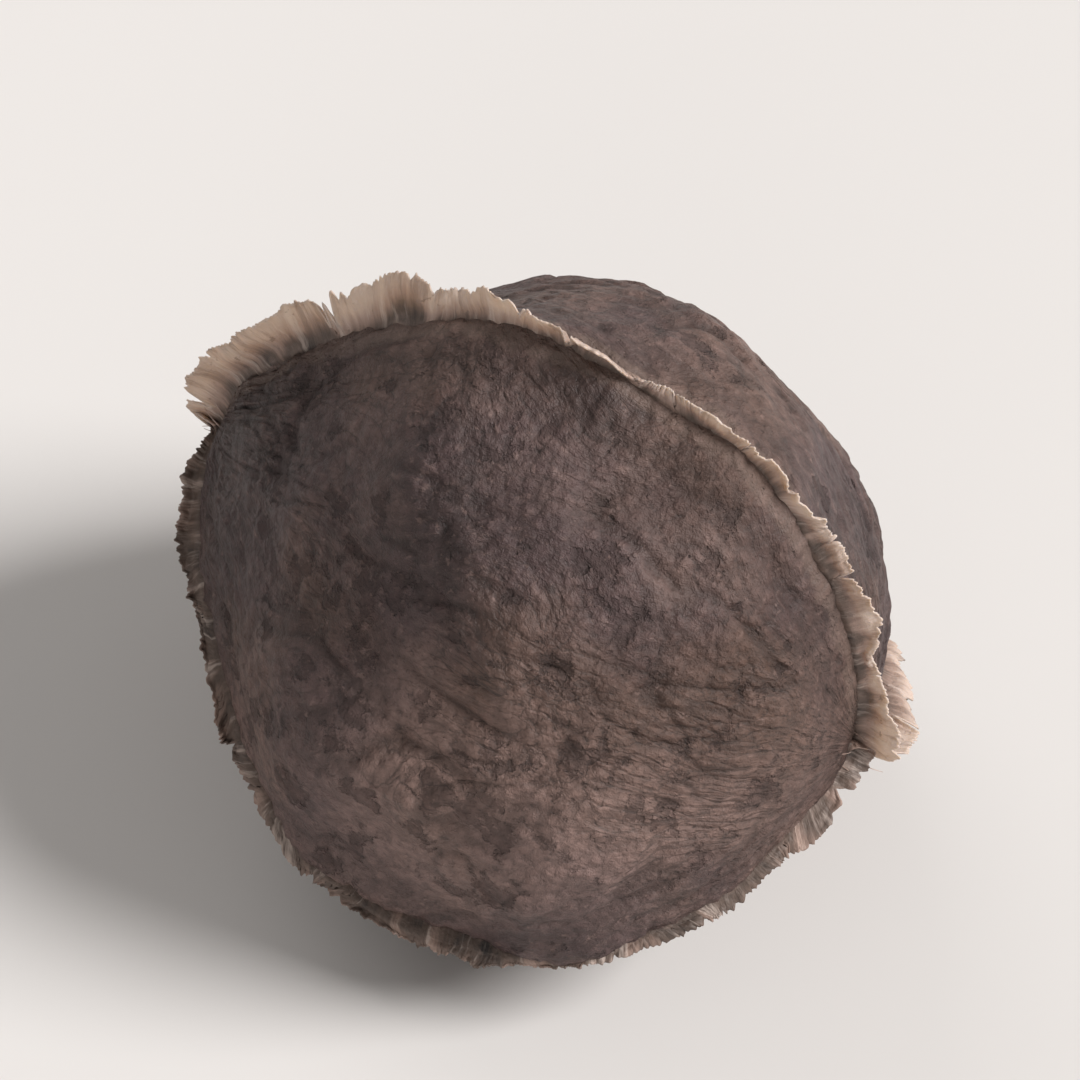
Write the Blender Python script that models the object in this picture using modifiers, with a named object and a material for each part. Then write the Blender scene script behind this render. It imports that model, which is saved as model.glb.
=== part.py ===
"""A moringa seed: a three-angled corky hull with a torn papery wing along each angle, grown as one piece.

The wings are narrow with handling, and the second one is worn down to a low ridge.
It lies on the middle of one face, with one wing up, as a single seed settles on a table. +X runs along the
seed from its pointed base to its round tip, +Z is up, and the origin is on the table under the middle of its box.
The hull is a sphere shaped by a formula, each wing is a waved grid given thickness, and all are united.
"""

import math
import random

import bmesh
import bpy
from mathutils import Matrix, Vector, noise

MM = 0.001

# The hull, measured from the seed's long axis
HALF_LENGTH = 4.35 * MM
ANGLE_RADIUS = 4.12 * MM
FACE_RADIUS = 3.58 * MM
KEEL_HEIGHT = 0.3 * MM
KEEL_SPREAD = math.radians(9)
TIP_FULLNESS = 0.1
BASE_PINCH = 0.2
BASE_PINCH_STARTS = 0.2
BASE_ANGULARITY = 0.9
LUMP_PLACE = Vector((3.1, 7.4, 1.9))
LUMPS = [(1.6, 0.28 * MM), (4.2, 0.1 * MM)]
HULL_SEGMENTS = 78
HULL_RINGS = 42

# The wings
WING_ANGLES = [math.radians(a) for a in (90, 210, 330)]
WING_WIDTH = 0.44 * MM
WING_SWELL = 0.28
WING_SCALES = (1, 0.42, 0.85)
POLE_REACH = 0.16 * MM
POLE_SPREAD = math.radians(18)
WING_THICKNESS = 0.62 * MM
WING_ROOT = 0.75 * MM
WING_OVERRUN = math.radians(3)
WAVE_HEIGHT = 0.2 * MM
WAVE_COUNT = 4.4
BITES = 4
BITE_HALF_WIDTH = (math.radians(5), math.radians(15))
BITE_DEPTH = (0.2, 0.5)
BITE_STEEPNESS = 1.4
LEAST_WIDTH = 0.13 * MM
RAGGED_HEIGHT = 0.1 * MM
RAGGED_SCALE = 8.0
WING_STEPS = 80
WING_ROWS = 4
WING_SEED = 41

# How it lies
LEAN = math.radians(0.4)
DIP = math.radians(7.4)
FLAT_SPOT_DEPTH = 0.07 * MM

HULL_COLOUR = (0.105, 0.083, 0.076, 1)
ROUGHNESS = 0.85


def clear_scene():
    for obj in list(bpy.data.objects):
        bpy.data.objects.remove(obj, do_unlink=True)


def new_collection(name):
    collection = bpy.data.collections.new(name)
    bpy.context.scene.collection.children.link(collection)
    return collection


def object_from(bm, name, collection):
    """A mesh object made of a bmesh, which is freed."""
    mesh = bpy.data.meshes.new(name)
    bm.to_mesh(mesh)
    bm.free()
    obj = bpy.data.objects.new(name, mesh)
    collection.objects.link(obj)
    return obj


def smooth_step(x):
    x = min(max(x, 0), 1)
    return x * x * (3 - 2 * x)


def from_nearest_angle(around):
    """How far round the axis a direction is from the hull's nearest angle."""
    return min(abs(math.remainder(around - a, 2 * math.pi)) for a in WING_ANGLES)


def girth(along, around):
    """Hull radius before the poles round it off. along is -1 at the base and 1 at the tip."""
    toward_base = smooth_step((-along - BASE_PINCH_STARTS) / (1 - BASE_PINCH_STARTS))
    mean = (ANGLE_RADIUS + FACE_RADIUS) / 2
    swing = (ANGLE_RADIUS - FACE_RADIUS) / 2 * (1 + BASE_ANGULARITY * toward_base)
    away = from_nearest_angle(around)
    radius = mean + swing * math.cos(3 * away)
    radius += KEEL_HEIGHT * math.exp(-((away / KEEL_SPREAD) ** 2))
    return radius * (1 + TIP_FULLNESS * along) * (1 - BASE_PINCH * toward_base)


def hull_point(direction):
    """Where the hull's surface is for a direction of the unit sphere whose poles are on X."""
    along = min(max(direction.x, -1), 1)
    radius = girth(along, math.atan2(direction.z, direction.y))
    for scale, height in LUMPS:
        radius += height * noise.noise(direction * scale + LUMP_PLACE)
    return Vector((HALF_LENGTH * along, radius * direction.y, radius * direction.z))


def make_hull(collection):
    bm = bmesh.new()
    bmesh.ops.create_uvsphere(bm, u_segments=HULL_SEGMENTS, v_segments=HULL_RINGS, radius=1)
    bmesh.ops.rotate(bm, verts=bm.verts, matrix=Matrix.Rotation(math.radians(90), 3, "Y"))
    for vert in bm.verts:
        vert.co = hull_point(vert.co.normalized())
    return object_from(bm, "seed", collection)


def draw_bites(wing):
    """The places, half widths and depths of the bites torn out of a wing's margin."""
    draw = random.Random(WING_SEED + wing)
    return [
        (draw.uniform(0, math.pi), draw.uniform(*BITE_HALF_WIDTH), draw.uniform(*BITE_DEPTH))
        for _ in range(BITES)
    ]


def wing_width(wing, bites, turn):
    """How far the margin stands off the hull. turn runs from 0 at the base to pi at the tip."""
    width = WING_WIDTH * (1 + WING_SWELL * math.sin(2 * turn + wing))
    width += POLE_REACH * math.exp(-((turn / POLE_SPREAD) ** 2))
    width += POLE_REACH * math.exp(-(((math.pi - turn) / POLE_SPREAD) ** 2))
    for place, half_width, depth in bites:
        width *= 1 - depth * smooth_step(BITE_STEEPNESS * (1 - abs(turn - place) / half_width))
    width += RAGGED_HEIGHT * noise.noise(Vector((RAGGED_SCALE * turn, WING_SEED, wing)))
    return max(width * WING_SCALES[wing], LEAST_WIDTH)


def wing_point(wing, turn, height):
    """A point of a wing's middle surface, height above the hull's angle."""
    along = -math.cos(turn)
    ridge = girth(along, WING_ANGLES[wing])
    x = HALF_LENGTH * along + height * along
    out = (ridge + height) * math.sin(turn)
    rise = max(height, 0) / WING_WIDTH
    aside = WAVE_HEIGHT * rise**1.5 * math.sin(turn) * math.sin(WAVE_COUNT * turn + 2.2 * wing)
    cos, sin = math.cos(WING_ANGLES[wing]), math.sin(WING_ANGLES[wing])
    return Vector((x, out * cos - aside * sin, out * sin + aside * cos))


def make_wing(wing, collection):
    """A grid from the root inside the hull to the torn margin, with Solidify for its thickness."""
    bites = draw_bites(wing)
    bm = bmesh.new()
    bmesh.ops.create_grid(bm, x_segments=WING_STEPS, y_segments=WING_ROWS, size=1)
    for vert in bm.verts:
        turn = -WING_OVERRUN + (math.pi + 2 * WING_OVERRUN) * (vert.co.x + 1) / 2
        width = wing_width(wing, bites, turn)
        height = -WING_ROOT + (WING_ROOT + width) * (vert.co.y + 1) / 2
        vert.co = wing_point(wing, turn, height)
    bmesh.ops.triangulate(bm, faces=bm.faces)
    obj = object_from(bm, f"wing_{wing + 1}", collection)
    solidify = obj.modifiers.new("thickness", "SOLIDIFY")
    solidify.thickness = WING_THICKNESS
    solidify.offset = 0
    return obj


def keep_evaluated(obj):
    """Gives an object the mesh that its modifiers make, and drops the modifiers."""
    bpy.context.view_layer.update()
    graph = bpy.context.evaluated_depsgraph_get()
    mesh = bpy.data.meshes.new_from_object(obj.evaluated_get(graph))
    obj.modifiers.clear()
    obj.data = mesh


def unite(obj, collection):
    """Joins a collection's objects to one, then removes them."""
    union = obj.modifiers.new("wings", "BOOLEAN")
    union.operation = "UNION"
    union.operand_type = "COLLECTION"
    union.collection = collection
    keep_evaluated(obj)
    for used in list(collection.objects):
        bpy.data.objects.remove(used, do_unlink=True)
    bpy.data.collections.remove(collection)


def box_of(mesh):
    corners = [[f(v.co[i] for v in mesh.vertices) for i in range(3)] for f in (min, max)]
    return Vector(corners[0]), Vector(corners[1])


def lay_down(obj, cutters):
    """Turns the seed to its rest, cuts the flat spot that it stands on, and centres its box on the origin."""
    obj.data.transform(Matrix.Rotation(LEAN, 4, "X") @ Matrix.Rotation(DIP, 4, "Y"))
    low, high = box_of(obj.data)
    middle = (low + high) / 2
    obj.data.transform(Matrix.Translation((-middle.x, -middle.y, -low.z - FLAT_SPOT_DEPTH)))
    bm = bmesh.new()
    bmesh.ops.create_cube(bm, size=1)
    size = (high - low) * 2
    bmesh.ops.scale(bm, vec=size, verts=bm.verts)
    bmesh.ops.translate(bm, vec=(0, 0, -size.z / 2), verts=bm.verts)
    table = object_from(bm, "table_cutter", cutters)
    table.hide_render = True
    table.display_type = "WIRE"
    cut = obj.modifiers.new("flat_spot", "BOOLEAN")
    cut.operation = "DIFFERENCE"
    cut.object = table


def seed_coat():
    material = bpy.data.materials.new("seed_coat")
    material.use_nodes = True
    shader = material.node_tree.nodes["Principled BSDF"]
    shader.inputs["Base Color"].default_value = HULL_COLOUR
    shader.inputs["Roughness"].default_value = ROUGHNESS
    shader.inputs["Metallic"].default_value = 0
    return material


def main():
    clear_scene()
    seed = make_hull(new_collection("moringa_seed"))
    wings = new_collection("wings")
    for wing in range(len(WING_ANGLES)):
        make_wing(wing, wings)
    unite(seed, wings)
    lay_down(seed, new_collection("cutters"))
    seed.data.materials.clear()
    seed.data.materials.append(seed_coat())
    seed.data.shade_smooth()
    seed.data.set_sharp_from_angle(angle=math.radians(40))


main()
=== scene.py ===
"""The looks of a dried moringa seed: a wrinkled corky hull with a thin, torn papery wing along each angle.

The hull and the wings follow the same formulas as the solids, drawn finer, with the relief that the solids
leave out. The seed is shaped in its own axes, X from its pointed base to its round tip, and then laid on the
table.
"""

import math
import random

import bmesh
import bpy
from mathutils import Matrix, Vector, noise


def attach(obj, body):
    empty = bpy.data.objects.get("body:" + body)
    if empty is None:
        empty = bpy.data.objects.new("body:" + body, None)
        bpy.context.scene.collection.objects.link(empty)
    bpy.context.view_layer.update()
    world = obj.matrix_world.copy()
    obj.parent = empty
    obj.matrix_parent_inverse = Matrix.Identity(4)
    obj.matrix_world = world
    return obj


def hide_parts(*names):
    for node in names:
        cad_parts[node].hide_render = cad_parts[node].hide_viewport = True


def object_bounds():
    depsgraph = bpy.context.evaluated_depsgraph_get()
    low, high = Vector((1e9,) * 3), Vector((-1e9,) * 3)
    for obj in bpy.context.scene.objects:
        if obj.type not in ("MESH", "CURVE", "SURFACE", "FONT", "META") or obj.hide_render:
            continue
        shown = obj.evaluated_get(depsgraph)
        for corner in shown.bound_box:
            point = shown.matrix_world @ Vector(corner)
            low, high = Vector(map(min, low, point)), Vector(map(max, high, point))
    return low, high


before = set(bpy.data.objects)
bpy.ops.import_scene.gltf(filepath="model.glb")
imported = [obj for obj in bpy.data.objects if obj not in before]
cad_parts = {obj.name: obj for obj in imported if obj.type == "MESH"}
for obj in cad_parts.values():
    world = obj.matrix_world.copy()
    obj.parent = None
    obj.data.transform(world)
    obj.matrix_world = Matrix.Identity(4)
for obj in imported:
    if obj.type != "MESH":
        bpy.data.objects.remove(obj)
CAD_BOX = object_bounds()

MM = 0.001

# The hull's shape, as in the solids
HALF_LENGTH = 4.35 * MM
ANGLE_RADIUS = 4.12 * MM
FACE_RADIUS = 3.58 * MM
KEEL_HEIGHT = 0.3 * MM
KEEL_SPREAD = math.radians(9)
TIP_FULLNESS = 0.1
BASE_PINCH = 0.2
BASE_PINCH_STARTS = 0.2
BASE_ANGULARITY = 0.9
LUMP_PLACE = Vector((3.1, 7.4, 1.9))
LUMPS = [(1.6, 0.28 * MM), (4.2, 0.1 * MM)]

# The wings' shape, as in the solids
WING_ANGLES = [math.radians(a) for a in (90, 210, 330)]
WING_WIDTH = 0.44 * MM
WING_SWELL = 0.28
WING_SCALES = (1, 0.42, 0.85)
POLE_REACH = 0.16 * MM
POLE_SPREAD = math.radians(18)
WING_OVERRUN = math.radians(3)
WAVE_HEIGHT = 0.2 * MM
WAVE_COUNT = 4.4
WAVE_SHIFT = 2.2
BITES = 4
BITE_HALF_WIDTH = (math.radians(5), math.radians(15))
BITE_DEPTH = (0.2, 0.5)
BITE_STEEPNESS = 1.4
LEAST_WIDTH = 0.13 * MM
RAGGED_HEIGHT = 0.1 * MM
RAGGED_SCALE = 8.0
WING_SEED = 41

# How it lies, as in the solids
LEAN = math.radians(0.4)
DIP = math.radians(7.4)
MIDDLE = Vector((-0.0072, -0.0881, 3.5702)) * MM
LAID = Matrix.Translation(MIDDLE) @ Matrix.Rotation(LEAN, 4, "X") @ Matrix.Rotation(DIP, 4, "Y")

# The hull's fine relief. A layer is a noise scale and a height, for places in mm
HULL_SEED = 7
HULL_SEGMENTS = 432
HULL_RINGS = 224
DENTS = [(0.7, 0.09 * MM)]
GRAINS = [(4.5, 0.014 * MM), (8.5, 0.0098 * MM)]
WRINKLE_SCALE = 2.1
WRINKLE_WARP_SCALE = 1.3
WRINKLE_HEIGHT = 0.03 * MM
PIT_SCALE = 2.2
PIT_RADIUS = 0.22
PIT_PATCH_SCALE = 0.9
PIT_PATCH_CONTRAST = 3
PIT_DEPTH = 0.03 * MM

# Relief that runs lengthwise, for places on a sphere stretched along X. A fold also has an edge width
LENGTHWISE_SPAN = 0.9
WANDER_SCALE = 2.4
WANDER = 0.16
STRIAE = [(15, 0.02 * MM), (31, 0.016 * MM)]
FOLDS = [(3.2, 0.06 * MM, 0.14), (8.0, 0.035 * MM, 0.2)]
FOLD_PATCH_SCALE = 0.6
FOLD_PATCH_LEVEL = 0.55
FOLD_PATCH_CONTRAST = 1.6
OPEN_FACE = 0.4

# Relief beside the wings, with places and spreads in mm from the keel. A buttress layer is its noise scale
# along the wing and away from it, its slice of the noise, and its height
FURROW_PLACE = 0.55
FURROW_SPREAD = 0.22
FURROW_DEPTH = 0.025 * MM
# How far a furrow counts as hollow, for the painted shade in the hull's colour
FURROW_HOLLOW = 0.6
BUTTRESSES = [(34, 0.7, 0, 0.03 * MM), (80, 1, 9, 0.018 * MM)]
BUTTRESS_SPREAD = 0.5
ROOT_SPREAD = 0.9
KEEL_EDGE = 0.3

# The wings' fine form. Tears and flutter are layers of noise scale and height, for places in radians
WING_STEPS = 1100
WING_ROWS = 26
SHEET_ROOT = 0.28 * MM
SHEET_THICKNESS = 0.02 * MM
FOOT_THICKNESS = 0.12 * MM
FOOT_HEIGHT = 0.07 * MM
SLIT_SEED = 287
SLITS = 60
SLIT_HALF_WIDTH = (math.radians(0.25), math.radians(0.9))
LEAST_SLIT_DEPTH = 0.06
SLIT_DEPTH_RANGE = 0.75
SLIT_RARITY = 5
TEARS = [(9, 0.06 * MM), (24, 0.05 * MM), (62, 0.045 * MM), (150, 0.035 * MM), (330, 0.02 * MM)]
LEAST_TORN_WIDTH = 0.4 * LEAST_WIDTH
POLE_END = math.radians(4)
SLANT_SCALE = 5
SLANT = 0.08
FLUTTER = [(5, 0.13 * MM), (14, 0.06 * MM), (38, 0.018 * MM)]
FLUTTER_GROWTH = 1.3
FLUTTER_CURL = 0.05
CREASE_SCALE = 19
CREASE_RISE_SCALE = 2.2
CREASE_HEIGHT = 0.05 * MM
SHEETS_APART = 10 * MM
PALENESS_FROM_WIDTH = 0.7
WEAR_DARKENING = 1.6

# Loose fibres, at the base (-1) and at the tip (1)
FIBRE_SEED = 533
FIBRES = {-1: 12, 1: 9}
FIBRE_LENGTH = (0.2 * MM, 0.6 * MM)
FIBRE_RADIUS = 0.011 * MM
FIBRE_STEPS = 9
FIBRE_SCATTER = 0.2 * MM
FIBRE_SINK = 0.1 * MM
FIBRE_SPREAD = 0.5
FIBRE_CURL = 0.2
FIBRE_TAPER = 0.7

# Camera, lights and floor. A light is its name, its turn from the view and its elevation, its spread (all in
# degrees) and its strength
VIEW_AZIMUTH = math.radians(28)
VIEW_ELEVATION = math.radians(49)
LENS = 200
SENSOR = 36
FIELD = 13 * MM
CLIP_START = MM
CLIP_END = 10
FLOOR_SIZE = 6
WORLD_COLOUR = (1, 0.985, 0.965, 1)
WORLD_LIGHT = 0.3
LIGHTS = [("key", (80, 40), 26, 4.2), ("sheen", (-10, 8), 50, 0.7), ("rim", (-150, 38), 40, 0.5)]

# Colours, linear
# DARK is the colour of cracks, pores, dark fibres and the wings' feet, and also the painted shade in the
# hull's hollows
DARK = (0.022, 0.016, 0.014, 1)
MAUVE = (0.084, 0.052, 0.05, 1)
BROWN = (0.1, 0.056, 0.041, 1)
DUSTY = (0.3, 0.196, 0.168, 1)
BARE = (0.036, 0.023, 0.022, 1)
FILM = (0.21, 0.147, 0.119, 1)
ROOT_BROWN = (0.09, 0.06, 0.046, 1)
TAN = (0.3, 0.2, 0.16, 1)
CREAM = (0.52, 0.392, 0.333, 1)
PALE = (0.67, 0.548, 0.48, 1)
FLOOR = (0.67, 0.637, 0.615, 1)
FLOOR_SHADE = (0.6, 0.57, 0.54, 1)
FLOOR_UNEVENNESS = 0.06


def smooth_step(x):
    x = min(max(x, 0), 1)
    return x * x * (3 - 2 * x)


def nearest_angle(around):
    """How far round the axis a direction is from the hull's nearest angle, and that angle's wing."""
    return min((abs(math.remainder(around - a, 2 * math.pi)), i) for i, a in enumerate(WING_ANGLES))


def girth(along, around):
    """Hull radius before the poles round it off. along is -1 at the base and 1 at the tip."""
    toward_base = smooth_step((-along - BASE_PINCH_STARTS) / (1 - BASE_PINCH_STARTS))
    mean = (ANGLE_RADIUS + FACE_RADIUS) / 2
    swing = (ANGLE_RADIUS - FACE_RADIUS) / 2 * (1 + BASE_ANGULARITY * toward_base)
    away, _ = nearest_angle(around)
    radius = mean + swing * math.cos(3 * away)
    radius += KEEL_HEIGHT * math.exp(-((away / KEEL_SPREAD) ** 2))
    return radius * (1 + TIP_FULLNESS * along) * (1 - BASE_PINCH * toward_base)


def hull_point(direction):
    """Where the hull's surface is for a direction of the unit sphere whose poles are on X."""
    along = min(max(direction.x, -1), 1)
    radius = girth(along, math.atan2(direction.z, direction.y))
    for scale, height in LUMPS:
        radius += height * noise.noise(direction * scale + LUMP_PLACE)
    return Vector((HALF_LENGTH * along, radius * direction.y, radius * direction.z))


def draw_bites(wing):
    """The places, half widths and depths of the bites torn out of a wing's margin."""
    draw = random.Random(WING_SEED + wing)
    return [
        (draw.uniform(0, math.pi), draw.uniform(*BITE_HALF_WIDTH), draw.uniform(*BITE_DEPTH))
        for _ in range(BITES)
    ]


def wing_width(wing, bites, turn):
    """How far the margin stands off the hull. turn runs from 0 at the base to pi at the tip."""
    width = WING_WIDTH * (1 + WING_SWELL * math.sin(2 * turn + wing))
    width += POLE_REACH * math.exp(-((turn / POLE_SPREAD) ** 2))
    width += POLE_REACH * math.exp(-(((math.pi - turn) / POLE_SPREAD) ** 2))
    for place, half_width, depth in bites:
        width *= 1 - depth * smooth_step(BITE_STEEPNESS * (1 - abs(turn - place) / half_width))
    width += RAGGED_HEIGHT * noise.noise(Vector((RAGGED_SCALE * turn, WING_SEED, wing)))
    return max(width * WING_SCALES[wing], LEAST_WIDTH)


def wing_point(wing, turn, height, aside=0):
    """A point of a wing's middle surface, height above the hull's angle, pushed aside by its fine folds."""
    along = -math.cos(turn)
    ridge = girth(along, WING_ANGLES[wing])
    x = HALF_LENGTH * along + height * along
    out = (ridge + height) * math.sin(turn)
    rise = max(height, 0) / WING_WIDTH
    aside += WAVE_HEIGHT * rise**1.5 * math.sin(turn) * math.sin(WAVE_COUNT * turn + WAVE_SHIFT * wing)
    cos, sin = math.cos(WING_ANGLES[wing]), math.sin(WING_ANGLES[wing])
    return Vector((x, out * cos - aside * sin, out * sin + aside * cos))


def bell(x):
    """1 at 0, falling smoothly to both sides."""
    return math.exp(-x * x)


def meridian_place(direction):
    """A place in a noise field that is stretched along the seed, so that its folds run from base to tip."""
    across = max(math.hypot(direction.y, direction.z), 1e-6)
    place = Vector((LENGTHWISE_SPAN * direction.x, direction.y / across, direction.z / across))
    return place + WANDER * noise.noise_vector(direction * WANDER_SCALE)


def layered(place, layers):
    """Noise at several scales, summed."""
    return sum(height * noise.noise(place * scale) for scale, height in layers)


def fold_relief(spot, meridian, open_face):
    """How deep the lengthwise folds are at a spot, and how far it is inside one, from 0 to 1."""
    depth, inside = 0, 0
    for scale, fold_depth, edge in FOLDS:
        patch = noise.noise(spot * FOLD_PATCH_SCALE + LUMP_PLACE * scale)
        fold = smooth_step(1 - abs(noise.noise(meridian * scale + LUMP_PLACE)) / edge)
        fold *= open_face * smooth_step(FOLD_PATCH_LEVEL + FOLD_PATCH_CONTRAST * patch)
        depth += fold_depth * fold
        inside = max(inside, fold)
    return depth, inside


def pit_share(spot):
    """1 in the middle of a small pit, 0 outside. Pits come in patches."""
    distances, _ = noise.voronoi(spot * PIT_SCALE)
    patch = PIT_PATCH_CONTRAST * noise.noise(spot * PIT_PATCH_SCALE - LUMP_PLACE)
    return smooth_step(1 - distances[0] / PIT_RADIUS) * smooth_step(patch)


def buttress_relief(turn, gap):
    """Short ribs that run out from a wing over the hull."""
    ribs = sum(
        height * noise.noise(Vector((turn * along, gap * away, layer)))
        for along, away, layer, height in BUTTRESSES
    )
    return ribs * bell(gap / BUTTRESS_SPREAD)


def hull_detail(direction):
    """The fine hull in a direction: its point, how hollow it is, how near it is to a keel and to a wing's
    root, and its meridian place.
    """
    point = hull_point(direction)
    spot = point / MM
    across = math.hypot(direction.y, direction.z)
    away, wing = nearest_angle(math.atan2(direction.z, direction.y))
    gap = away * math.hypot(spot.y, spot.z)
    turn = math.acos(min(max(-direction.x, -1), 1))
    meridian = meridian_place(direction)
    open_face = smooth_step(across / OPEN_FACE)
    folds, inside_fold = fold_relief(spot, meridian, open_face)
    pit = pit_share(spot)
    furrow = bell((gap - FURROW_PLACE) / FURROW_SPREAD) * open_face
    warped_spot = spot * WRINKLE_SCALE + noise.noise_vector(spot * WRINKLE_WARP_SCALE)
    height = layered(spot, DENTS) + layered(spot, GRAINS) + open_face * layered(meridian, STRIAE)
    height += WRINKLE_HEIGHT * noise.noise(warped_spot) + buttress_relief(turn, gap)
    height -= folds + PIT_DEPTH * pit + FURROW_DEPTH * furrow
    # How hollow a spot is: the hull's colour is darkened there as painted shade
    hollow = max(inside_fold, pit, FURROW_HOLLOW * furrow)
    keel = bell(gap / KEEL_EDGE) * WING_SCALES[wing]
    return point + direction * height, hollow, keel, bell(gap / ROOT_SPREAD), meridian


def flat(places):
    """The coordinates of many places in one list."""
    return [x for place in places for x in place]


def store(mesh, name, values):
    mesh.attributes.new(name, "FLOAT", "POINT").data.foreach_set("value", values)


def store_places(mesh, name, places):
    mesh.attributes.new(name, "FLOAT_VECTOR", "POINT").data.foreach_set("vector", flat(places))


def lay_on_table(mesh):
    """Turns a mesh from the seed's own axes to its rest, and flattens what meets the table."""
    mesh.transform(LAID)
    for vert in mesh.vertices:
        vert.co.z = max(vert.co.z, 0)


def make_hull():
    noise.seed_set(HULL_SEED)  # else noise_vector is seeded with the time
    bm = bmesh.new()
    bmesh.ops.create_uvsphere(bm, u_segments=HULL_SEGMENTS, v_segments=HULL_RINGS, radius=1)
    bmesh.ops.rotate(bm, verts=bm.verts, matrix=Matrix.Rotation(math.radians(90), 3, "Y"))
    mesh = bpy.data.meshes.new("seed_hull")
    bm.to_mesh(mesh)
    bm.free()
    details = [hull_detail(vert.co.normalized()) for vert in mesh.vertices]
    points, hollows, keels, roots, meridians = zip(*details)
    mesh.vertices.foreach_set("co", flat(points))
    # hollow sets the painted shade in the folds, pits and furrows
    store(mesh, "hollow", hollows)
    store(mesh, "keel", keels)
    store(mesh, "root", roots)
    store_places(mesh, "own_place", points)
    store_places(mesh, "meridian", meridians)
    lay_on_table(mesh)
    mesh.shade_smooth()
    return bpy.data.objects.new("seed_hull", mesh)


def draw_slits(wing):
    """The places, half widths and depths of the slits in a wing's margin. Most of them are shallow."""
    draw = random.Random(SLIT_SEED + wing)
    slits = []
    for _ in range(SLITS):
        place = draw.uniform(0, math.pi)
        half_width = draw.uniform(*SLIT_HALF_WIDTH)
        depth = LEAST_SLIT_DEPTH + SLIT_DEPTH_RANGE * draw.random() ** SLIT_RARITY
        slits.append((place, half_width, depth))
    return slits


def torn_width(wing, bites, slits, turn):
    """The margin as it is torn: the solid's margin, ragged at every scale, with a few slits."""
    width = wing_width(wing, bites, turn)
    width += sum(height * noise.noise(Vector((turn * scale, wing, scale))) for scale, height in TEARS)
    for place, half_width, depth in slits:
        width *= 1 - depth * max(0, 1 - abs(turn - place) / half_width)
    from_base, from_tip = turn + WING_OVERRUN, math.pi + WING_OVERRUN - turn
    width *= smooth_step(from_base / POLE_END) * smooth_step(from_tip / POLE_END)
    return max(width, LEAST_TORN_WIDTH)


def flutter(wing, turn, rise):
    """How far the papery sheet leaves its middle surface, rise being 0 at its foot and 1 at its margin.

    The whole numbers that multiply wing keep the three sheets apart in the noise.
    """
    aside = 0
    for scale, height in FLUTTER:
        place = Vector((turn * scale, wing * 3, rise * (1 + FLUTTER_CURL * scale)))
        aside += height * rise**FLUTTER_GROWTH * noise.noise(place)
    crease = abs(noise.noise(Vector((turn * CREASE_SCALE, wing * 5, rise * CREASE_RISE_SCALE))))
    return aside + CREASE_HEIGHT * rise * crease


def make_wing(wing):
    """A grid from its root in the keel to the torn margin, thick at its foot and papery at the margin."""
    bites, slits = draw_bites(wing), draw_slits(wing)
    bm = bmesh.new()
    bmesh.ops.create_grid(bm, x_segments=WING_STEPS, y_segments=WING_ROWS, size=1)
    name = f"seed_wing_{wing + 1}"
    mesh = bpy.data.meshes.new(name)
    bm.to_mesh(mesh)
    bm.free()
    paleness = WING_SCALES[wing] ** WEAR_DARKENING
    thicknesses, places, rises = [], [], []
    for vert in mesh.vertices:
        turn = -WING_OVERRUN + (math.pi + 2 * WING_OVERRUN) * (vert.co.x + 1) / 2
        width = torn_width(wing, bites, slits, turn)
        height = -SHEET_ROOT + (SHEET_ROOT + width) * (vert.co.y + 1) / 2
        above = max(height, 0)
        rise = above / width
        slant = SLANT * rise * noise.noise(Vector((turn * SLANT_SCALE, wing, 2)))
        vert.co = wing_point(wing, turn + slant, height, flutter(wing, turn, rise))
        foot = bell(above / FOOT_HEIGHT)
        thicknesses.append(SHEET_THICKNESS + (FOOT_THICKNESS - SHEET_THICKNESS) * foot)
        places.append((turn * ANGLE_RADIUS, height, SHEETS_APART * wing))
        pale_height = (1 - PALENESS_FROM_WIDTH) * WING_WIDTH + PALENESS_FROM_WIDTH * width
        rises.append(above / pale_height * paleness)
    store_places(mesh, "sheet_place", places)
    store(mesh, "rise", rises)
    lay_on_table(mesh)
    mesh.shade_smooth()
    obj = bpy.data.objects.new(name, mesh)
    group = obj.vertex_groups.new(name="thickness")
    for i, thickness in enumerate(thicknesses):
        group.add([i], thickness / FOOT_THICKNESS, "REPLACE")
    solidify = obj.modifiers.new("thickness", "SOLIDIFY")
    solidify.thickness = FOOT_THICKNESS
    solidify.offset = 0
    solidify.vertex_group = group.name
    return obj


def add_fibre(curve, end, draw):
    """A curling fibre that starts just inside one end of the hull and tapers outward."""
    off = Vector((0, draw.gauss(0, FIBRE_SCATTER), draw.gauss(0, FIBRE_SCATTER)))
    direction = Vector((end, draw.gauss(0, FIBRE_SPREAD), draw.gauss(0, FIBRE_SPREAD))).normalized()
    curl = Vector((draw.gauss(0, 1), draw.gauss(0, 1), draw.gauss(0, 1))) * FIBRE_CURL
    length = draw.uniform(*FIBRE_LENGTH)
    start = Vector((end * (HALF_LENGTH - FIBRE_SINK), 0, 0)) + off
    spline = curve.splines.new("POLY")
    spline.points.add(FIBRE_STEPS)
    for i, point in enumerate(spline.points):
        t = i / FIBRE_STEPS
        place = start + (direction + curl * t) * (length * t)
        point.co = (*(LAID @ place), 1)
        point.radius = 1 - FIBRE_TAPER * t


def make_fibres():
    """Short loose fibres at both ends, where the wings run together."""
    draw = random.Random(FIBRE_SEED)
    curve = bpy.data.curves.new("seed_fibres", "CURVE")
    curve.dimensions = "3D"
    curve.bevel_depth = FIBRE_RADIUS
    curve.bevel_resolution = 1
    curve.use_fill_caps = True
    for end, count in FIBRES.items():
        for _ in range(count):
            add_fibre(curve, end, draw)
    return bpy.data.objects.new("seed_fibres", curve)


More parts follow.
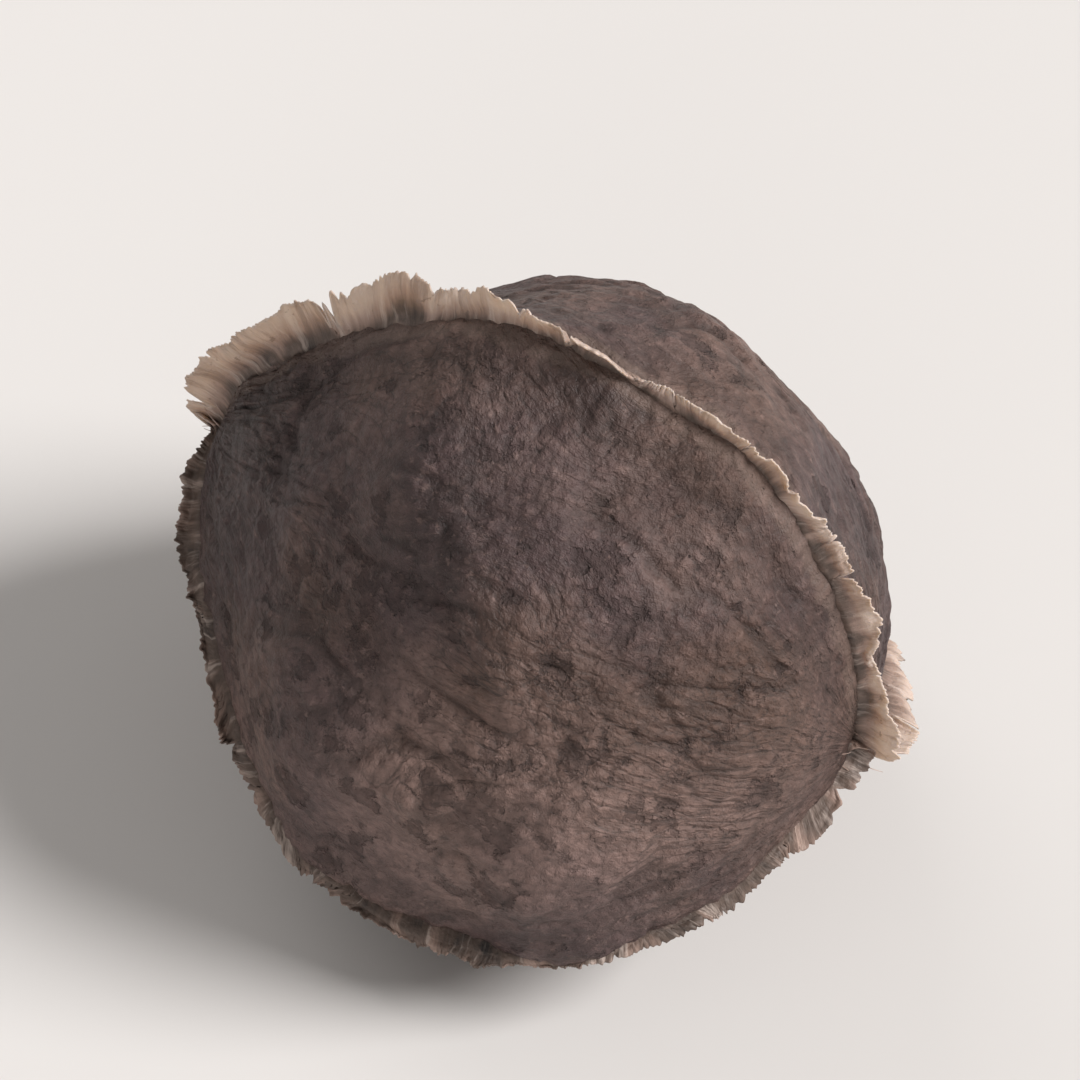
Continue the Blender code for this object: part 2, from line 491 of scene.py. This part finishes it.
class Finish:
    """A material under way: its node tree, with a short call for each kind of node it uses.

    Noise and cell scales are for places in metres, so 1000 gives features about 1 mm across.
    """

    def __init__(self, name):
        self.material = bpy.data.materials.new(name)
        self.material.use_nodes = True
        self.shader = self.material.node_tree.nodes["Principled BSDF"]

    def set(self, socket, value):
        """Gives a socket a plain value, or links another node's output to it."""
        if isinstance(value, bpy.types.NodeSocket):
            self.material.node_tree.links.new(value, socket)
        else:
            socket.default_value = value

    def add(self, kind, inputs, **settings):
        node = self.material.node_tree.nodes.new(kind)
        for name, value in settings.items():
            setattr(node, name, value)
        for socket, value in inputs.items():
            self.set(node.inputs[socket], value)
        return node

    def attribute(self, name, output="Fac"):
        return self.add("ShaderNodeAttribute", {}, attribute_name=name).outputs[output]

    def stretched(self, place, scale):
        return self.add("ShaderNodeMapping", {"Vector": place, "Scale": scale}).outputs["Vector"]

    def noise(self, place, scale, detail=4, roughness=0.55):
        inputs = {"Vector": place, "Scale": scale, "Detail": detail, "Roughness": roughness}
        return self.add("ShaderNodeTexNoise", inputs).outputs["Fac"]

    def warped(self, place, scale, amount):
        """A place pushed about by noise."""
        cloud = self.add("ShaderNodeTexNoise", {"Vector": place, "Scale": scale, "Detail": 3})
        inputs = {0: cloud.outputs["Color"], 1: (amount, amount, amount), 2: place}
        return self.add("ShaderNodeVectorMath", inputs, operation="MULTIPLY_ADD").outputs["Vector"]

    def cells(self, place, scale, feature="F1"):
        inputs = {"Vector": place, "Scale": scale}
        return self.add("ShaderNodeTexVoronoi", inputs, feature=feature).outputs["Distance"]

    def between(self, value, start, end):
        """0 at the start level, 1 at the end level, smooth between. The start may be the higher one."""
        inputs = {"Value": value, "From Min": start, "From Max": end}
        return self.add("ShaderNodeMapRange", inputs, interpolation_type="SMOOTHSTEP").outputs["Result"]

    def scaled(self, value, low, high):
        """A value from 0 to 1 brought to the range from low to high."""
        inputs = {"Value": value, "To Min": low, "To Max": high}
        return self.add("ShaderNodeMapRange", inputs).outputs["Result"]

    def times(self, first, second):
        return self.add("ShaderNodeMath", {0: first, 1: second}, operation="MULTIPLY").outputs["Value"]

    def plus(self, first, second):
        return self.add("ShaderNodeMath", {0: first, 1: second}, operation="ADD").outputs["Value"]

    def mix(self, share, first, second):
        node = self.add("ShaderNodeMix", {0: share}, data_type="RGBA")
        colours = [socket for socket in node.inputs if socket.type == "RGBA"]
        self.set(colours[0], first)
        self.set(colours[1], second)
        return next(socket for socket in node.outputs if socket.type == "RGBA")

    def tint(self, colour, mask, share, over):
        """Lays a colour over another, by a share, where the mask is 1."""
        return self.mix(self.times(mask, share), colour, over)

    def relief(self, layers):
        """A normal bumped by layers of height and distance, each laid over the last."""
        normal = None
        for height, distance in layers:
            inputs = {"Height": height, "Distance": distance, "Strength": 1.0}
            if normal:
                inputs["Normal"] = normal
            normal = self.add("ShaderNodeBump", inputs).outputs["Normal"]
        return normal

    def finish(self, sockets):
        for name, value in sockets.items():
            self.set(self.shader.inputs[name], value)
        return self.material


def hull_material():
    """A mauve-brown skin with fine lengthwise fibres and wrinkles, flaked off in places to darker cork."""
    f = Finish("corky_hull")
    place, meridian = f.attribute("own_place", "Vector"), f.attribute("meridian", "Vector")

    # Broad lighter and darker zones, then a finer mottle
    colour = f.mix(f.between(f.noise(place, 240, 3), 0.42, 0.62), MAUVE, BROWN)
    zones = f.noise(f.warped(place, 300, 1.2 * MM), 180, 3, 0.5)
    colour = f.tint(colour, f.between(zones, 0.48, 0.66), 0.5, DUSTY)
    colour = f.tint(colour, f.between(zones, 0.48, 0.32), 0.6, BARE)
    mottle = f.between(f.noise(place, 900, 6, 0.62), 0.45, 0.68)
    colour = f.tint(colour, mottle, 0.22, DUSTY)

    # Fibres that run from base to tip, and a net of fine cracks in patches
    fibres = f.noise(meridian, 26, 5, 0.7)
    colour = f.tint(colour, f.between(fibres, 0.52, 0.7), 0.3, DUSTY)
    colour = f.tint(colour, f.between(fibres, 0.46, 0.32), 0.5, DARK)
    long_place = f.stretched(f.warped(meridian, 9, 0.12), (0.45, 1, 1))
    net = f.cells(long_place, 15, "DISTANCE_TO_EDGE")
    net_share = f.between(f.noise(place, 450, 3), 0.42, 0.6)
    cracks = f.times(f.between(net, 0.05, 0.0), net_share)
    colour = f.tint(colour, cracks, 0.5, DARK)

    # Spots where the skin is gone, pores, painted shade in the hollows, papery film on the keels, and scurf
    cover = f.plus(f.noise(place, 1500, 6, 0.66), f.times(f.attribute("root"), -0.05))
    bare = f.between(cover, 0.545, 0.6)
    colour = f.tint(colour, bare, 0.45, BARE)
    pores = f.cells(place, 6500)
    colour = f.tint(colour, f.between(pores, 0.3, 0.7), 0.28, DARK)
    # Painted shade: the colour darkens in the folds, pits and furrows beside the wings
    colour = f.tint(colour, f.attribute("hollow"), 0.4, DARK)
    ragged_keel = f.plus(f.attribute("keel"), f.scaled(f.noise(place, 2200, 5, 0.65), -0.6, 0.6))
    colour = f.tint(colour, f.between(ragged_keel, 0.35, 0.7), 0.4, FILM)
    scurf = f.between(f.noise(place, 8000, 3, 0.7), 0.6, 0.72)
    colour = f.tint(colour, scurf, 0.3, DUSTY)

    normal = f.relief([
        (fibres, 0.06 * MM),
        (f.noise(place, 2600, 5, 0.62), 0.07 * MM),
        (f.times(f.between(net, 0.0, 0.25), net_share), 0.02 * MM),
        (bare, -0.02 * MM),
        (pores, -0.025 * MM),
        (f.noise(place, 9000, 3, 0.72), 0.035 * MM),
    ])
    rough = f.plus(f.scaled(f.noise(place, 1800, 4, 0.6), 0.36, 0.66), f.times(bare, 0.2))
    sockets = {"Base Color": colour, "Roughness": rough, "Specular IOR Level": 0.3, "Normal": normal}
    return f.finish(sockets)


def wing_material():
    """Papery sheet, cream at the margin and streaked brown at its foot, with fibres that run outward."""
    f = Finish("papery_wing")
    place = f.attribute("sheet_place", "Vector")
    across = f.stretched(f.warped(place, 1500, 0.1 * MM), (1, 0.12, 1))
    fibres = f.noise(across, 6500, 4, 0.72)
    streaks = f.noise(across, 2400, 4, 0.65)

    # From the hull's film at the foot, through brown and tan, to cream at the margin
    streaked_rise = f.plus(f.attribute("rise"), f.scaled(streaks, -0.9, 0.9))
    colour = f.mix(f.between(f.noise(place, 2200, 5, 0.66), 0.4, 0.62), DARK, FILM)
    colour = f.mix(f.between(streaked_rise, -0.25, 0.12), colour, ROOT_BROWN)
    colour = f.mix(f.between(streaked_rise, 0.02, 0.42), colour, TAN)
    colour = f.mix(f.between(streaked_rise, 0.25, 0.85), colour, CREAM)

    # Fibres, stains and specks
    colour = f.tint(colour, f.between(fibres, 0.5, 0.36), 0.4, ROOT_BROWN)
    colour = f.tint(colour, f.between(fibres, 0.52, 0.68), 0.4, PALE)
    stains = f.between(f.noise(place, 800, 6, 0.62), 0.54, 0.7)
    colour = f.tint(colour, stains, 0.45, TAN)
    specks = f.between(f.noise(place, 5200, 4, 0.65), 0.61, 0.67)
    colour = f.tint(colour, specks, 0.45, ROOT_BROWN)

    return f.finish({
        "Base Color": colour,
        "Roughness": f.scaled(fibres, 0.5, 0.75),
        "Subsurface Weight": f.times(f.between(f.attribute("rise"), 0.15, 0.7), 0.35),
        "Subsurface Radius": (1.0, 0.75, 0.5),
        "Subsurface Scale": 0.15 * MM,
        "Normal": f.relief([(f.noise(place, 2600, 5, 0.66), 0.06 * MM), (fibres, 0.04 * MM)]),
    })


def fibre_material():
    f = Finish("loose_fibre")
    place = f.add("ShaderNodeTexCoord", {}).outputs["Object"]
    colour = f.mix(f.between(f.noise(place, 2500, 4), 0.4, 0.65), TAN, CREAM)
    return f.finish({"Base Color": colour, "Roughness": 0.7})


def floor_material():
    f = Finish("pale_floor")
    place = f.add("ShaderNodeTexCoord", {}).outputs["Object"]
    colour = f.tint(FLOOR, f.noise(place, 900, 4), FLOOR_UNEVENNESS, FLOOR_SHADE)
    return f.finish({"Base Color": colour, "Roughness": 0.7})


def make_floor():
    bpy.ops.mesh.primitive_plane_add(size=FLOOR_SIZE)
    floor = bpy.context.object
    floor.name = "floor"
    floor.data.materials.append(floor_material())


def outward(azimuth, elevation):
    """The direction from the seed towards a viewer. Azimuth 0 looks along +Y."""
    flat = math.cos(elevation)
    return Vector((math.sin(azimuth) * flat, -math.cos(azimuth) * flat, math.sin(elevation)))


def aim(obj, place, target):
    obj.location = place
    obj.rotation_euler = (target - place).to_track_quat("-Z", "Y").to_euler()


def add_lights(target):
    for name, (turn, elevation), spread, strength in LIGHTS:
        light = bpy.data.lights.new(name, "SUN")
        light.angle = math.radians(spread)
        light.energy = strength
        obj = bpy.data.objects.new(name, light)
        bpy.context.scene.collection.objects.link(obj)
        toward_light = outward(VIEW_AZIMUTH + math.radians(turn), math.radians(elevation))
        aim(obj, target + toward_light, target)
    world = bpy.data.worlds.new("studio")
    world.use_nodes = True
    background = world.node_tree.nodes["Background"]
    background.inputs["Color"].default_value = WORLD_COLOUR
    background.inputs["Strength"].default_value = WORLD_LIGHT
    bpy.context.scene.world = world


def add_camera(target):
    data = bpy.data.cameras.new("camera")
    data.lens = LENS
    data.sensor_width = SENSOR
    data.clip_start = CLIP_START
    data.clip_end = CLIP_END
    camera = bpy.data.objects.new("camera", data)
    bpy.context.scene.collection.objects.link(camera)
    aim(camera, target + outward(VIEW_AZIMUTH, VIEW_ELEVATION) * (FIELD * LENS / SENSOR), target)
    bpy.context.scene.camera = camera


def add_piece(obj, material):
    bpy.context.scene.collection.objects.link(obj)
    obj.data.materials.append(material)
    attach(obj, "root")


def main():
    hull = make_hull()
    add_piece(hull, hull_material())
    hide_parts("seed")
    papery = wing_material()
    for wing in range(len(WING_ANGLES)):
        add_piece(make_wing(wing), papery)
    add_piece(make_fibres(), fibre_material())
    make_floor()
    target = (CAD_BOX[0] + CAD_BOX[1]) / 2
    add_lights(target)
    add_camera(target)
    bpy.context.scene.view_settings.view_transform = "Standard"


main()
